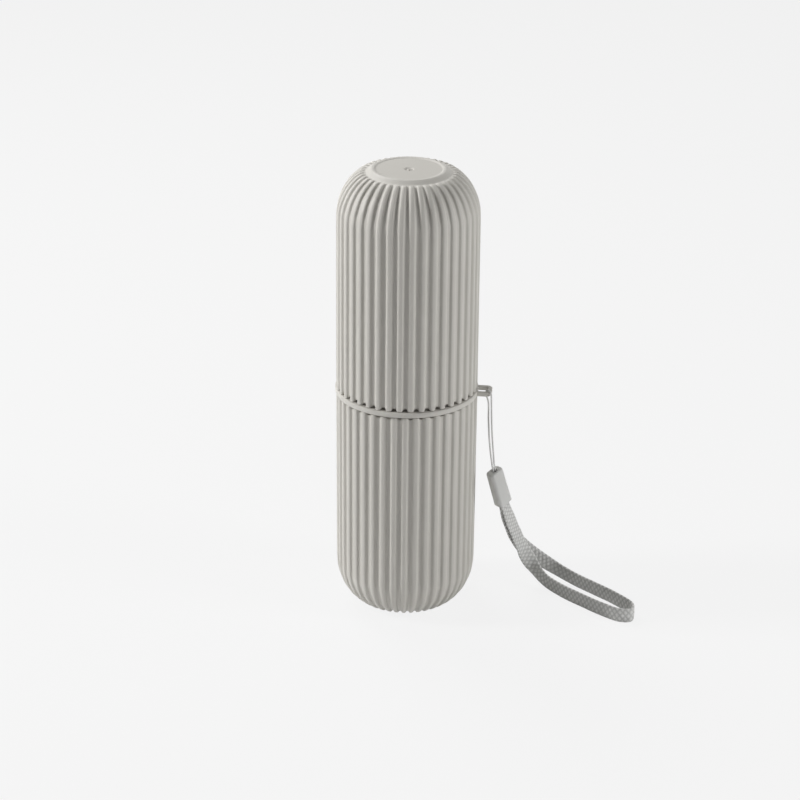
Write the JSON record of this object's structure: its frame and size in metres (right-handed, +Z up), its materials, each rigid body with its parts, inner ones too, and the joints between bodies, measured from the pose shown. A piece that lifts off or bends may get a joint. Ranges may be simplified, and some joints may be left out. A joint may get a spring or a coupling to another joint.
{
  "type": "toothbrush and toothpaste case",
  "caption": "Ribbed capsule-shaped travel case for a toothbrush and paste: a cup and a pull-off lid on a collar ring with an eyelet and a wrist strap.",
  "frame": {"origin": "on the case's axis, in the plane of the foot rim that the case stands on", "axes": "+Z up along the case's axis, +X toward the eyelet on the collar, +Y completes a right-handed frame"},
  "size_m": [0.1267, 0.0586, 0.19],
  "materials": {
    "shell_plastic": "satin moulded plastic",
    "sleeve_plastic": "satin moulded plastic",
    "cord": "twisted cord",
    "webbing": "flat braid"
  },
  "bodies": {
    "cup": {"lower_cup": "shell_plastic"},
    "collar": {"strap_collar": "shell_plastic"},
    "lid": {"lid": "shell_plastic"},
    "strap": {"string_loop": "cord", "string_knot": "cord", "strap_sleeve": "sleeve_plastic", "wrist_webbing": "webbing"}
  },
  "joints": [
    {"name": "collar_turn", "type": "hinge", "parent": "cup", "child": "collar", "pos_m": [0, 0, 0.0959], "axis": [0, 0, 1], "continuous": true},
    {"name": "lid_lift", "type": "slide", "parent": "collar", "child": "lid", "axis": [0, 0, 1], "range_m": [0, 0.12]},
    {"name": "strap_swing", "type": "hinge", "parent": "collar", "child": "strap", "pos_m": [0.03373, -0.00273, 0.09593], "axis": [-0.7071, -0.7071, 0], "range_deg": [0, 100]}
  ]
}
